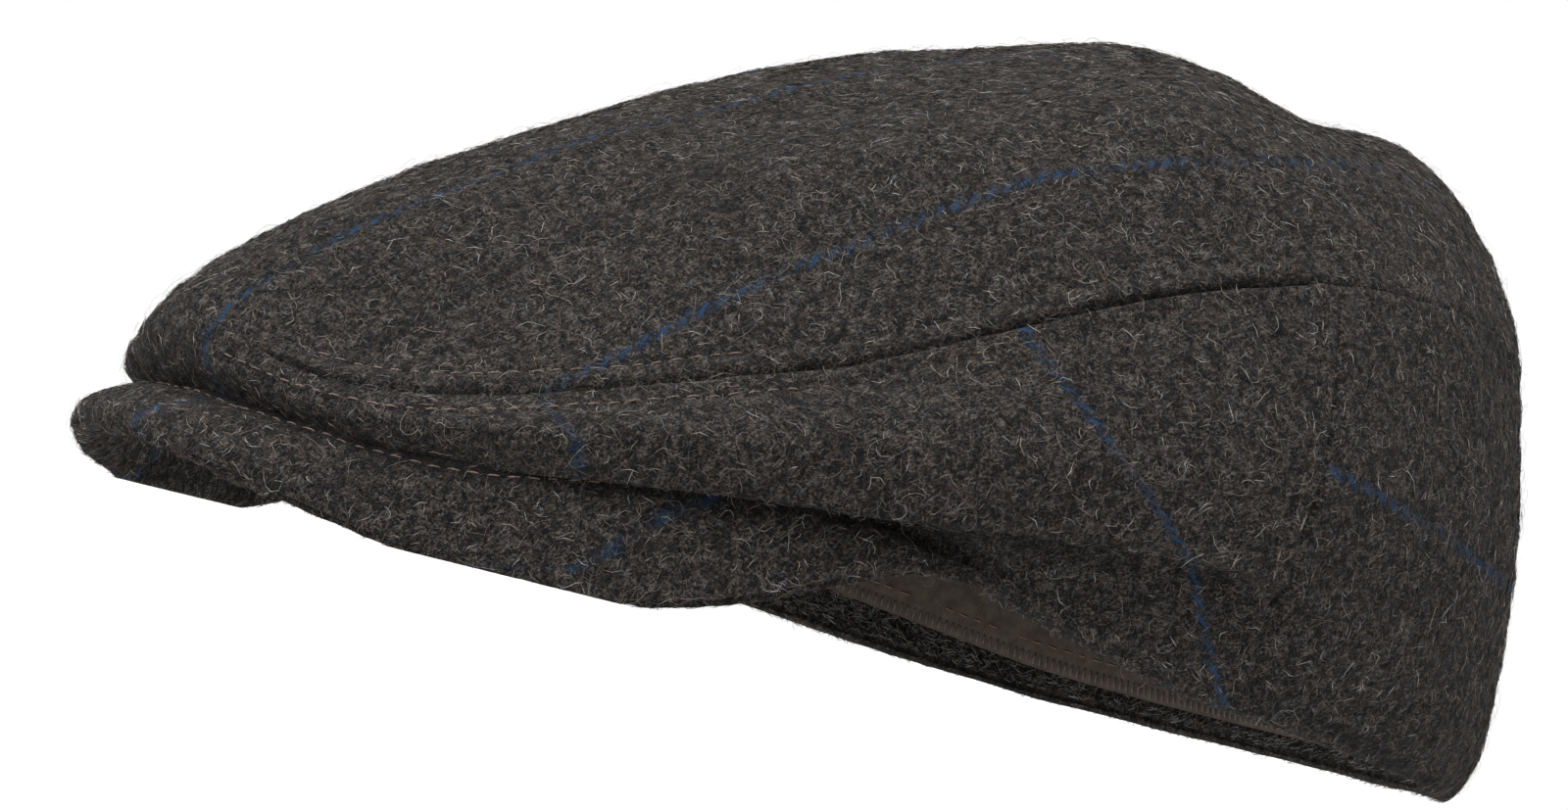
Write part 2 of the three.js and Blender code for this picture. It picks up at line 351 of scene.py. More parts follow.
# Outer face and inner face of the cloth, with outward normals
def crown_cloth(angle, level):
    point, normal, per_degree, per_level = surface_frame(crown_point, angle, level, apex_level)
    relief = crown_relief(point, angle, level, per_degree, per_level)
    beside = within(from_front(angle), lip_hollow_start, lip_hollow_end)
    hollow = lip_hollow * beside * bell(level, lip_hollow_level, lip_hollow_height)
    point = point - normal * hollow[..., None]
    # The rim is the round edge of the turned hem
    radius = hem_thickness / 2
    inside = np.clip(radius - np.maximum(level, 0) * per_level, 0, radius)
    rounding = radius - np.sqrt(radius**2 - inside**2)
    free = 1 - inside / radius
    outer = point + normal * (relief * free - rounding)[..., None]
    depth = np.where(level < hem_level, hem_thickness, cloth_thickness)
    inner = point - normal * (depth - rounding)[..., None]
    return above_floor(outer), above_floor(inner), normal


# Where the stripes of the cloth run: a count that is even on blue lines and odd on dark ones,
# the millimetres for one count, and the millimetres along a stripe
dash_step = 3.1  # between the dashes that a blue line shows as
between_lines = 0.5  # a count where no line shows
top_stripe_x = 10
top_stripe_spread = (17, 20, 22.5, 26, 29, 22, 14)  # at every 40 mm from the front of the top to its back
top_stripe_start = -150
top_stripe_step = 40
top_stripe_counts = (-2.5, 2.5)  # past the outermost lines on each side
top_slope = 1.15  # millimetres on the cloth for one across it in plan
side_stripe_start = 42  # degrees from the front, where a blue line meets the top seam
side_stripe_step = 15.7  # degrees between a blue line and a dark one at the top seam
side_stripe_slant = (0.11, 0.041)  # how fast the lines spread below the seam, and how much faster lower down
side_stripe_spacing = 38
side_level_height = 26  # millimetres for one level
plain_front = (14, 24)  # degrees from the front with no line, where the two directions of the cloth meet
back_stripe_height = 32  # of the blue line in the middle of the back
back_stripe_rise = 14  # of that line towards the upright seams
back_stripe_spacing = 36
back_degree_length = 1.6
peak_stripe_start = 6.6  # degrees from the front
peak_stripe_step = 19
peak_stripe_slant = 3.5
peak_stripe_turn = 3.3  # step at which the lines of the peak have their plain angle
peak_stripe_spacing = 24
peak_step_length = 6
plain_peak_end = 52  # degrees from the front to where the peak shows no line


def top_stripes(point, angle, level):
    spread = value_along(top_stripe_spread, (point[..., 1] - top_stripe_start) / top_stripe_step)
    count = np.clip((point[..., 0] - top_stripe_x) / spread, *top_stripe_counts)
    return count, spread * top_slope, point[..., 1]


def side_stripes(point, angle, level):
    away = from_front(leaned(angle, level))
    drop = seam_level - level
    slant = drop * (side_stripe_slant[0] + side_stripe_slant[1] * drop)
    top_angle = (away + side_stripe_start * slant) / (1 + slant)
    front_count, front_spacing, _ = top_stripes(point, angle, level)
    side_count = (top_angle - side_stripe_start) / side_stripe_step
    count = np.where(away > plain_front[1], side_count, between_lines)
    in_front = away < plain_front[0]
    spacing = np.where(in_front, front_spacing, side_stripe_spacing)
    return np.where(in_front, front_count, count), spacing, level * side_level_height


def back_stripes(point, angle, level):
    share = (from_front(angle) - back_seam_angle) / (180 - back_seam_angle)
    height = back_stripe_height + back_stripe_rise * (1 - np.sin(np.clip(share, 0, 1) * math.pi / 2))
    spacing = np.full(level.shape, float(back_stripe_spacing))
    return (point[..., 2] - height) / spacing, spacing, signed_angle(angle - 180) * back_degree_length


def peak_stripes(point, angle, step):
    slant = peak_stripe_slant * (np.abs(step) - peak_stripe_turn) * np.tan(np.radians(angle))
    count = (angle - peak_stripe_start - slant) / peak_stripe_step
    count = np.where(np.abs(angle) < plain_peak_end, count, between_lines)
    return count, np.full(angle.shape, float(peak_stripe_spacing)), step * peak_step_length


# Millimetres from the nearest line that has an even count
def nearest_line(count, spacing):
    return (count / 2 - np.round(count / 2)) * 2 * spacing


# Mesh objects
def set_in_frame(points):
    return (np.asarray(points).reshape(-1, 3) + rim_centre) / 1000


def mesh_object(name, points, faces, material):
    mesh = bpy.data.meshes.new(name)
    mesh.from_pydata(set_in_frame(points), [], faces)
    mesh.shade_smooth()
    piece = bpy.data.objects.new(name, mesh)
    bpy.context.scene.collection.objects.link(piece)
    mesh.materials.append(material)
    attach(piece, "root")
    return piece


def add_value(piece, name, values):
    attribute = piece.data.attributes.new(name, "FLOAT", "POINT")
    attribute.data.foreach_set("value", np.asarray(values, np.float32).ravel())


# Cloth coordinates in millimetres, as a map for the weave
def add_weave(piece, across, along):
    layer = piece.data.uv_layers.new(name="weave")
    corner = np.empty(len(piece.data.loops), np.int32)
    piece.data.loops.foreach_get("vertex_index", corner)
    pairs = np.stack([np.ravel(across)[corner], np.ravel(along)[corner]], axis=-1)
    layer.data.foreach_set("uv", pairs.astype(np.float32).ravel())


def grid_faces(rows, columns, start=0, closed=False, flip=False):
    wide = columns if closed else columns - 1
    row, column = np.meshgrid(np.arange(rows - 1), np.arange(wide), indexing="ij")
    after = (column + 1) % columns
    low, high = row * columns, (row + 1) * columns
    quads = np.stack([low + column, low + after, high + after, high + column], axis=-1).reshape(-1, 4)
    return (quads[:, ::-1] if flip else quads) + start


# Band of faces between two rows of equally many points
def strip_faces(first, second, closed=False):
    first, second = np.asarray(first), np.asarray(second)
    count = len(first) if closed else len(first) - 1
    index = np.arange(count)
    after = (index + 1) % len(first)
    return np.stack([first[index], first[after], second[after], second[index]], axis=-1)


# Closed wall between an outer grid of points and an inner one of fewer rows, as a panel or as a ring
def wall_faces(rows, inner_rows, columns, closed=False):
    outer = np.arange(rows * columns).reshape(rows, columns)
    inner = np.arange(inner_rows * columns).reshape(inner_rows, columns) + rows * columns
    faces = grid_faces(rows, columns, 0, closed).tolist()
    faces += grid_faces(inner_rows, columns, rows * columns, closed, flip=True).tolist()
    faces += strip_faces(inner[0], outer[0], closed).tolist()
    faces += strip_faces(outer[-1], inner[-1], closed).tolist()
    if not closed:
        faces.append(np.concatenate([outer[::-1, 0], inner[:, 0]]).tolist())
        faces.append(np.concatenate([outer[:, -1], inner[::-1, -1]]).tolist())
    return faces


# Shares from 0 to 1, close together at both ends
def eased(count):
    return 0.5 - 0.5 * np.cos(np.linspace(0, math.pi, count))


def add_stripes(piece, count, spacing, along):
    add_value(piece, "blue", nearest_line(count, spacing))
    add_value(piece, "dark", nearest_line(count - 1, spacing))
    add_weave(piece, count * spacing, along)


# Points of a panel, first those of its outer face and then of its inner one, with their angles and levels
def panel_points(angles, outer_levels, inner_levels):
    faces = []
    for face, levels in enumerate((outer_levels, inner_levels)):
        level, angle = np.meshgrid(levels, angles, indexing="ij")
        faces.append((crown_cloth(angle, level)[face].reshape(-1, 3), angle.ravel(), level.ravel()))
    return [np.concatenate(pair) for pair in zip(*faces)]


def wall_panel(name, start, end, columns, stripes, material):
    rows, rows_over_hem = 100, 8
    top = seam_level - seam_inset
    hem_levels = [0, 0.03, 0.08, 0.16, 0.3, 0.5, hem_level - 0.01, hem_level + 0.03]
    inner_levels = np.concatenate([hem_levels, np.linspace(hem_level + 0.1, top, rows_over_hem)])
    angles = start + (end - start) * eased(columns)
    points, angle, level = panel_points(angles, top * eased(rows), inner_levels)
    faces = wall_faces(rows, len(inner_levels), columns)
    piece = mesh_object(name, points, faces, material)
    add_stripes(piece, *stripes(crown_point(angle, level), angle, level))
    # Painted shade under the lip of the crown
    add_value(piece, "painted_shade", painted_lip_shade(angle, level))
    return piece


def top_panel(name, material):
    columns, rows, inner_rows = 420, 90, 10
    crowding = 1.5  # of the rows near the seam
    start, end = seam_level + seam_inset, apex_level - seam_inset
    outer_levels = start + (end - start) * np.linspace(0, 1, rows) ** crowding
    angles = np.arange(columns) * 360 / columns
    points, angle, level = panel_points(angles, outer_levels, np.linspace(start, end, inner_rows))
    last = rows * columns
    faces = grid_faces(rows, columns, 0, closed=True).tolist()
    faces += grid_faces(inner_rows, columns, last, closed=True, flip=True).tolist()
    faces += strip_faces(np.arange(columns) + last, np.arange(columns), closed=True).tolist()
    faces.append(list(range(last - columns, last)))
    faces.append(list(range(len(points) - 1, len(points) - columns - 1, -1)))
    piece = mesh_object(name, points, faces, material)
    add_stripes(piece, *top_stripes(crown_point(angle, level), angle, level))
    return piece


# Peak: a section from the rim below, round the edge and back to the rim above
def peak_edge_height(share, end_height):
    quarters = [np.full(share.shape, float(height)) for height in peak_edge.values()]
    line = np.stack([quarters[1], *quarters, end_height, end_height])
    step = share * len(quarters) + 1
    index = np.minimum(np.floor(step).astype(int), len(quarters))
    before, start, end, after = (np.take_along_axis(line, (index + k)[None], 0)[0] for k in (-1, 0, 1, 2))
    return curve_between(start, end, (end - before) / 2, (after - start) / 2, step - index)


# Middle line of the peak at an angle, with its directions and half its thickness
def peak_section(angle):
    share = np.abs(angle) / peak_end_angle
    spread = (1 - np.minimum(share, 1) ** peak_roundness) ** peak_fullness
    thinner = smoothstep(share, peak_thinning, 1)
    radius = (peak_thickness + (peak_end_thickness - peak_thickness) * thinner) / 2
    rim, fold = ring_point("rim", angle), ring_point("fold", angle)
    edge = rim + unit((fold - rim) * [1, 1, 0]) * peak_end_reach
    edge[..., 0] += peak_flare * spread * np.sin(np.radians(angle))
    edge[..., 1] -= peak_reach * spread * np.cos(np.radians(angle))
    edge[..., 2] = peak_edge_height(share, rim[..., 2] - peak_end_thickness - peak_gap) + radius
    width = np.linalg.norm(edge - rim, axis=-1, keepdims=True)
    beside = smoothstep(np.abs(angle), *covered_turn)[..., None]
    under_crown = covered_share + (covered_end_share - covered_share) * beside
    covered = np.minimum(1, under_crown * width / np.linalg.norm(fold - rim, axis=-1, keepdims=True))
    slope = (edge - rim) / width
    upward = np.array([0, 0, 1])
    across = unit(upward - slope * slope[..., 2:])
    drop = -across * radius[..., None] - upward * peak_gap
    root, groove = rim + drop, rim + (fold - rim) * covered + drop
    bend = (edge + groove) / 2 + across * peak_arch
    return root, groove, bend, edge, slope, across, radius[..., None]


# Points of the peak are given by angle and by a step, from -6 at the rim below through 0 at the nose to 6 at
# the rim above
peak_steps = 6


def peak_point(angle, step):
    angle, step = paired(angle, step)
    root, groove, bend, edge, slope, across, radius = peak_section(angle)
    line = []
    for side in (-1, 1):
        half = [root, groove, bend, edge]
        face = [point + across * side * radius for point in half]
        for turn in (60, 30):
            corner = math.radians(turn)
            face.append(edge + slope * radius * math.cos(corner) + across * side * radius * math.sin(corner))
        line.append(face)
    nose = edge + slope * radius
    points = [*line[0], nose, *line[1][::-1]]
    return above_floor(line_along(points, step + peak_steps))


def peak_cloth(angle, step):
    turn, rise = 0.5, 0.02
    middle = np.clip(step, -peak_steps + rise, peak_steps - rise)
    bounded = np.clip(angle, -peak_end_angle + turn, peak_end_angle - turn)
    along = peak_point(bounded + turn, middle) - peak_point(bounded - turn, middle)
    up = (peak_point(bounded, middle + rise) - peak_point(bounded, middle - rise)) / (2 * rise)
    normal = unit(np.cross(along, up))
    point = peak_point(angle, step)
    nose_away = np.abs(step - nose_seam_step) * np.linalg.norm(up, axis=-1)
    shown = 1 - smoothstep(np.abs(angle), peak_seam_share * peak_end_angle, peak_end_angle)
    relief = unevenness(point, peak_lumps) - nose_seam_depth * shown * bell(nose_away, 0, nose_seam_width)
    return above_floor(point + normal * relief[..., None]), normal


def peak(name, material):
    columns, rows = 230, 76
    angles = peak_end_angle * np.linspace(-1, 1, columns)
    steps = np.linspace(-peak_steps, peak_steps, rows)
    step, angle = np.meshgrid(steps, angles, indexing="ij")
    points, _ = peak_cloth(angle, step)
    number = np.arange(rows * columns).reshape(rows, columns)
    faces = grid_faces(rows, columns).tolist() + strip_faces(number[-1], number[0]).tolist()
    faces += [number[::-1, 0].tolist(), number[:, -1].tolist()]
    piece = mesh_object(name, points, faces, material)
    add_stripes(piece, *peak_stripes(points, angle, step))
    # Painted shade towards the groove under the crown's lip
    add_value(piece, "painted_shade", painted_groove_shade(angle, step))
    return piece


# Lining: up from the hem inside the rim, then close under the top
lining_top_level = 4
lining_degree_length = 1.5  # millimetres of its weave for one degree
lining_level_height = 30
lining_end = 0.995  # share of the way up to where the lining ends, at the apex
slack_levels = (0.1, 0.8)  # in which the lining begins to hang loose
slack_depth = 0.5
slack_length = 22


def lining_point(angle, level):
    angle, level = paired(angle, level)
    rim = ring_point("rim", angle)
    inward = unit(-rim * [1, 1, 0])

    def inside(crown_level, depth):
        point, normal, _, _ = surface_frame(crown_point, angle, crown_level, apex_level)
        return point - normal * depth

    away = from_front(angle)
    behind = smoothstep(away, peak_end_angle - lining_turn, peak_end_angle + lining_turn)[..., None]
    clear = hem_thickness + 2 * piece_gap
    start = rim + inward * (clear + lining_tuck_share * around(tuck, angle))[..., None]
    start = start + (inside(lining_edge_level, clear) - start) * behind
    hang = cloth_thickness + lining_drop
    crest = inside(crest_level, hang)
    top = np.broadcast_to(apex - [0, 0, hang], crest.shape)
    wall = start + inward * lining_inset
    wall[..., 2] = (start[..., 2] + crest[..., 2]) / 2
    return line_along([start, wall, crest, inside((crest_level + apex_level) / 2, hang), top], level)


def lining(name, material):
    columns, rows = 200, 44
    angles = np.arange(columns) * 360 / columns
    levels = lining_top_level * np.linspace(0, lining_end, rows)
    level, angle = np.meshgrid(levels, angles, indexing="ij")
    point, normal, _, _ = surface_frame(lining_point, angle, level, lining_top_level)
    # Soft creases that the loose lining hangs in
    slack = slack_depth * smoothstep(level, *slack_levels) * (1 + lumps(point, slack_length, seed=11))
    point = point - normal * slack[..., None]
    inner = point - normal * lining_thickness
    points = np.concatenate([point.reshape(-1, 3), inner.reshape(-1, 3)])
    piece = mesh_object(name, points, wall_faces(rows, rows, columns, closed=True), material)
    across, along = signed_angle(angle) * lining_degree_length, level * lining_level_height
    add_weave(piece, *(np.concatenate([values.ravel()] * 2) for values in (across, along)))
    return piece


# Threads: short stitches, each a rounded tube that dips into the cloth at both ends
def stitches(name, lines, material, radius=thread_radius):
    sides, rings_count = 6, 7
    share = np.linspace(0, 1, rings_count)
    swell = radius * np.maximum(np.sqrt(1 - (2 * share - 1) ** 4), thread_end)
    lift = radius * (thread_rise * np.sin(share * math.pi) ** thread_fullness - thread_sink)
    turns = np.arange(sides) * 2 * math.pi / sides
    points, faces = [], []
    for start, end, normal in lines:
        along = unit(end - start)
        side = unit(np.cross(normal, along))
        centre = start + (end - start) * share[:, None] + normal * lift[:, None]
        ring = np.cos(turns)[None, :, None] * side + np.sin(turns)[None, :, None] * normal
        base = len(points) * sides * rings_count
        points.append((centre[:, None] + ring * swell[:, None, None]).reshape(-1, 3))
        faces += grid_faces(rings_count, sides, base, closed=True).tolist()
        faces += [list(range(base + sides - 1, base - 1, -1))]
        last = base + (rings_count - 1) * sides
        faces += [list(range(last, last + sides))]
    return mesh_object(name, np.concatenate(points), faces, material)


# Cuts a path of points with normals into stitches of one length
def stitch_lines(points, normals, shown=stitch_shown):
    lengths = np.concatenate([[0], np.cumsum(np.linalg.norm(np.diff(points, axis=0), axis=-1))])

    def at_length(values, length):
        return np.array([np.interp(length, lengths, values[:, axis]) for axis in range(3)])

    lines = []
    random = np.random.default_rng(21)
    for start in np.arange(0, lengths[-1] - stitch_length, stitch_length + stitch_gap):
        ends = start + np.array([0, stitch_length]) + random.normal(0, stitch_slip, 2)
        place = np.array([at_length(points, end) for end in ends]) + random.normal(0, stitch_shift, (2, 3))
        clump = stitch_hidden["lumps"] * lumps(place.mean(axis=0), stitch_hidden["length"], seed=22)
        if stitch_hidden["mean"] + clump + random.normal(0, stitch_hidden["spread"]) < shown:
            lines.append((*place, unit(at_length(normals, ends.mean()))))
    return lines


# Row of topstitching in front of an upright seam
def upright_row(side, away):
    levels = np.linspace(*upright_row_levels, 400)
    columns = np.full(levels.shape, float(side * back_seam_angle))
    per_degree = surface_frame(crown_point, columns, levels, apex_level)[2]
    outer, _, normal = crown_cloth(columns - side * away / per_degree, levels)
    return outer, normal


# Row of topstitching on the crown at a distance above or below the top seam
def seam_row(start, end, away):
    angles = np.linspace(start, end, 700)
    beside_seam = seam_level + slope_away * np.sign(away)
    per_level = surface_frame(crown_point, angles, beside_seam, apex_level)[3]
    outer, _, normal = crown_cloth(angles, seam_level + away / per_level)
    return outer, normal


def peak_row(step):
    angles = np.linspace(-1, 1, 400) * peak_seam_share * peak_end_angle
    return peak_cloth(angles, step)


def lining_row(level):
    start = peak_end_angle + lining_row_end
    angles = np.linspace(start, 360 - start, 600)
    point, normal, _, _ = surface_frame(lining_point, angles, level, lining_top_level)
    return point - normal * (lining_thickness + lining_row_lift), -normal


# Threads over the lining's raw edge, side by side
def overlock_lines():
    angles = np.arange(peak_end_angle, 360 - peak_end_angle, overlock_step)
    ends = []
    for level in overlock_levels:
        point, normal, _, _ = surface_frame(lining_point, angles, level, lining_top_level)
        ends.append(point - normal * lining_thickness)
    return list(zip(*ends, -normal))


# Loose wool: curved ribbons on a surface, some lying in the cloth and some standing off it
fibre_kinds = {
    "short": {"per_cm2": 112, "length": (1.2, 3.0), "bend": 0.5, "lift": (0.0, 0.28),
              "width": 0.05, "parts": 2, "pale": 0.0},
    "curled": {"per_cm2": 13, "length": (2.5, 6.0), "bend": 0.6, "lift": (0.1, 0.5),
               "width": 0.028, "parts": 5, "pale": 0.30},
    "stray": {"per_cm2": 3.2, "length": (3.5, 8.0), "bend": 0.5, "lift": (0.3, 1.5),
              "width": 0.015, "parts": 6, "pale": 1.0},
}
fibre_wander = 0.35  # radians of turn from part to part
fibre_tilt = 0.35
fibre_arch = (0.12, 0.88)  # shares of its length between which a fibre arches
fibre_taper = {0: 0.35, 0.15: 1, 0.85: 1, 1: 0.3}  # its width at shares of its length
fibre_sag = 120  # square millimetres out along a fibre for one millimetre down, as the cloth curves away
fibre_colours = {
    "pale": {"share": 0.22, "colour": (0.122, 0.108, 0.096)},
    "grey": {"share": 0.22, "colour": (0.038, 0.035, 0.034)},
    "brown": {"share": 0.22, "colour": (0.035, 0.025, 0.018)},
    "black": {"share": 0.38, "colour": (0.003, 0.003, 0.003)},
}
loose_wool = np.array([0.120, 0.103, 0.088])
blue_wool = np.array([0.010, 0.038, 0.090])
dark_wool = 0.006
tint_limits = (0.002, 0.24)
tint_spread = 0.45  # of the fibres' brightness
blue_spread = 0.35
hue_spread = 0.05
tint_lumps = ((0.50, 2.6, 41), (0.28, 9, 42))  # strength, length and seed of lighter and darker clumps
blue_width = 0.9  # from the middle of a line
blue_share = 0.40
blue_clumps = 9  # length of the stretches with more or less blue
dark_width = 1.1
dark_share = 0.3
dash_cover = 0.2  # height of the wave of dashes over which they show


# Each fibre as pairs of points, left and right along its ribbon
def fibre_paths(points, normals, kind, random):
    count, parts = len(points), kind["parts"]
    length = random.uniform(*kind["length"], size=(count, 1))
    helper = unit(random.normal(size=(count, 3)))
    first = unit(np.cross(normals, helper))
    second = np.cross(normals, first)
    bend = random.normal(0, kind["bend"], size=(count, 1))
    wander = random.normal(0, fibre_wander, size=(count, parts))
    heading = bend * length / parts * np.arange(parts) + np.cumsum(wander, axis=1)
    step = length / parts
    x, y = np.pad(np.cumsum(step * [np.cos(heading), np.sin(heading)], axis=2), ((0, 0), (0, 0), (1, 0)))
    x, y = x - x.mean(axis=1, keepdims=True), y - y.mean(axis=1, keepdims=True)
    share = np.linspace(0, 1, parts + 1)
    lift = random.uniform(*kind["lift"], size=(count, 1))
    tilt = random.normal(0, fibre_tilt, size=(count, 1)) * lift
    arch = lift * np.sin(math.pi * np.clip(share, *fibre_arch))
    height = arch + tilt * (share - 0.5) - (x**2 + y**2) / fibre_sag
    path = points[:, None] + first[:, None] * x[..., None] + second[:, None] * y[..., None]
    path += normals[:, None] * height[..., None]
    along = unit(np.gradient(path, axis=1))
    roll = random.uniform(0, math.pi, size=(count, 1, 1))
    flat = unit(np.cross(normals[:, None], along))
    wide = flat * np.cos(roll) + normals[:, None] * np.sin(roll)
    taper = np.interp(share, list(fibre_taper), list(fibre_taper.values()))
    half = wide * (kind["width"] * taper)[None, :, None]
    return above_floor(np.stack([path - half, path + half], axis=2), fibre_least_height)


# Even spread of places over a surface that is given by angle and level
def spread_places(frame_at, angles, levels, per_cm2, random):
    rows, columns = 90, 160
    level, angle = np.meshgrid(np.linspace(*levels, rows), np.linspace(*angles, columns), indexing="ij")
    point = frame_at(angle, level)[0]
    along, up = np.gradient(point, axis=1), np.gradient(point, axis=0)
    area = np.linalg.norm(np.cross(along, up), axis=-1)[:-1, :-1]
    count = int(per_cm2 * area.sum() / 100)
    cell = random.choice(area.size, size=count, p=area.ravel() / area.sum())
    row, column = np.divmod(cell, area.shape[1])
    level_step, angle_step = level[1, 0] - level[0, 0], angle[0, 1] - angle[0, 0]
    place_level = level[row, 0] + random.uniform(0, 1, count) * level_step
    place_angle = angle[0, column] + random.uniform(0, 1, count) * angle_step
    return place_angle, place_level


def fibre_piece(name, ribbons, colours, material):
    points, quads, tints = [], [], []
    start = 0
    for ribbon, tint in zip(ribbons, colours):
        count, rings_count = ribbon.shape[:2]
        number = np.arange(count * rings_count * 2).reshape(count, rings_count, 2) + start
        corners = (number[:, :-1, 0], number[:, :-1, 1], number[:, 1:, 1], number[:, 1:, 0])
        quads.append(np.stack(corners, axis=-1).reshape(-1, 4))
        points.append(ribbon.reshape(-1, 3))
        tints.append(np.repeat(tint, rings_count * 2, axis=0))
        start += number.size
    piece = mesh_object(name, np.concatenate(points), np.concatenate(quads), material)
    tints = np.concatenate(tints)
    colour = np.concatenate([tints, np.ones((len(tints), 1))], axis=1)
    layer = piece.data.color_attributes.new("wool", "FLOAT_COLOR", "POINT")
    layer.data.foreach_set("color", colour.astype(np.float32).ravel())
    return piece


# One colour for each fibre, from the mix of wools or from the line that it grows on, then lightened or
# darkened by painted light and shade
def fibre_tints(points, blue_away, dark_away, on_dash, pale, painted_light_and_shade, random):
    count = len(points)
    shares = np.array([row["share"] for row in fibre_colours.values()])
    palette = np.array([row["colour"] for row in fibre_colours.values()])
    tint = palette[random.choice(len(palette), size=count, p=shares / shares.sum())]
    tint = np.where(random.uniform(size=(count, 1)) < pale, loose_wool, tint)
    tint = tint * random.lognormal(0, tint_spread, size=(count, 1))
    tint = tint * random.normal(1, hue_spread, size=(count, 3))
    tint = tint * np.exp(unevenness(points, tint_lumps))[:, None]
    blue = (np.abs(blue_away) < blue_width) & on_dash
    blue = blue & (random.uniform(size=count) < blue_share * (1 - lumps(points, blue_clumps, seed=43)))
    dark = (np.abs(dark_away) < dark_width) & (random.uniform(size=count) < dark_share)
    tint = np.where(blue[:, None], blue_wool * random.lognormal(0, blue_spread, size=(count, 1)), tint)
    tint = np.where(dark[:, None], dark_wool, tint)
    return np.clip(tint * painted_light_and_shade[:, None], *tint_limits)


# All fibres of one stretch of cloth
def wool(name, row, seed, material):
    random = np.random.default_rng(seed)
    frame_at, stripes = row["face"], row["stripes"]
    shade_at = row.get("shade", no_shade)
    ribbons, colours = [], []
    for kind in fibre_kinds.values():
        density = kind["per_cm2"] * row.get("density", 1)
        angle, level = spread_places(frame_at, row["angles"], row["levels"], density, random)
        face, normal = frame_at(angle, level)[:2]
        stripe_count, spacing, along = stripes(face, angle, level)
        on_dash = np.sin(2 * math.pi * (stripe_count * spacing + along) / dash_step) > dash_cover
        ribbons.append(fibre_paths(face, normal, kind, random))
        blue, dark = nearest_line(stripe_count, spacing), nearest_line(stripe_count - 1, spacing)
        pale = max(row.get("pale", 0), kind["pale"])
        # Painted light and shade on the wool: the row's own lightening or darkening, and the painted shade
        # under the lip and in the groove of the peak
        painted_light_and_shade = row.get("painted_light_and_shade", 1) * (1 - painted_shade_strength * shade_at(angle, level))
        colours.append(fibre_tints(face, blue, dark, on_dash, pale, painted_light_and_shade, random))
    return fibre_piece(name, ribbons, colours, material)


def crown_face(angle, level):
    outer, _, normal = crown_cloth(angle, level)
    return outer, normal


def hem_face(angle, level):
    _, inner, normal = crown_cloth(angle, level)
    return inner, -normal


# Material under construction. A value is a number, a colour or a node's output. Sizes are in millimetres.
class Shading:
    def __init__(self, name):
        self.material = bpy.data.materials.new(name)
        self.material.use_nodes = True
        self.nodes = self.material.node_tree.nodes
        self.links = self.material.node_tree.links
        self.surface = self.nodes["Principled BSDF"]
        self.place = self.nodes.new("ShaderNodeTexCoord").outputs["Object"]

    def feed(self, socket, value):
        if isinstance(value, bpy.types.NodeSocket):
            self.links.new(value, socket)
        elif isinstance(value, tuple):
            socket.default_value = (*value, 1)
        else:
            socket.default_value = value

    def maths(self, operation, *values):
        node = self.nodes.new("ShaderNodeMath")
        node.operation = operation
        for socket, value in zip(node.inputs, values):
            self.feed(socket, value)
        return node.outputs[0]

    def times(self, first, second):
        return self.maths("MULTIPLY", first, second)

    def plus(self, first, second):
        return self.maths("ADD", first, second)

    def wave(self, distance, length):
        return self.maths("SINE", self.times(distance, 2 * math.pi / length))

    # Smooth change from a start to an end while a value goes from low to high
    def ramp(self, value, low, high, start=0.0, end=1.0):
        node = self.nodes.new("ShaderNodeMapRange")
        node.interpolation_type = "SMOOTHSTEP"
        for socket, number in zip(node.inputs, (value, low, high, start, end)):
            self.feed(socket, number)
        return node.outputs[0]

    def mix(self, share, first, second):
        node = self.nodes.new("ShaderNodeMix")
        node.data_type = "RGBA"
        for index, value in {0: share, 6: first, 7: second}.items():
            self.feed(node.inputs[index], value)
        return node.outputs[2]

    # Noise, stretched along one direction where turn and stretch are given
    def noise(self, size, detail=2.0, turn=(0, 0, 0), stretch=1.0, roughness=0.6):
        mapping = self.nodes.new("ShaderNodeMapping")
        mapping.vector_type = "TEXTURE"
        self.links.new(self.place, mapping.inputs["Vector"])
        mapping.inputs["Scale"].default_value = (size / 1000, size * stretch / 1000, size / 1000)
        mapping.inputs["Rotation"].default_value = turn
        node = self.nodes.new("ShaderNodeTexNoise")
        for key, value in {"Scale": 1.0, "Detail": detail, "Roughness": roughness}.items():
            node.inputs[key].default_value = value
        self.links.new(mapping.outputs[0], node.inputs["Vector"])
        return node.outputs[0]

    def stored(self, name, output="Fac"):
        node = self.nodes.new("ShaderNodeAttribute")
        node.attribute_name = name
        return node.outputs[output]

    # Millimetres across and along the cloth
    def weave(self):
        node = self.nodes.new("ShaderNodeUVMap")
        node.uv_map = "weave"
        split = self.nodes.new("ShaderNodeSeparateXYZ")
        self.links.new(node.outputs[0], split.inputs[0])
        return split.outputs[0], split.outputs[1]

    def bump(self, height, strength, depth):
        node = self.nodes.new("ShaderNodeBump")
        node.inputs["Strength"].default_value = strength
        node.inputs["Distance"].default_value = depth / 1000
        self.links.new(height, node.inputs["Height"])
        self.links.new(node.outputs[0], self.surface.inputs["Normal"])

    def finish(self, colour, **values):
        self.links.new(colour, self.surface.inputs["Base Color"])
        for name, value in values.items():
            self.feed(self.surface.inputs[name.replace("_", " ")], value)
        return self.material


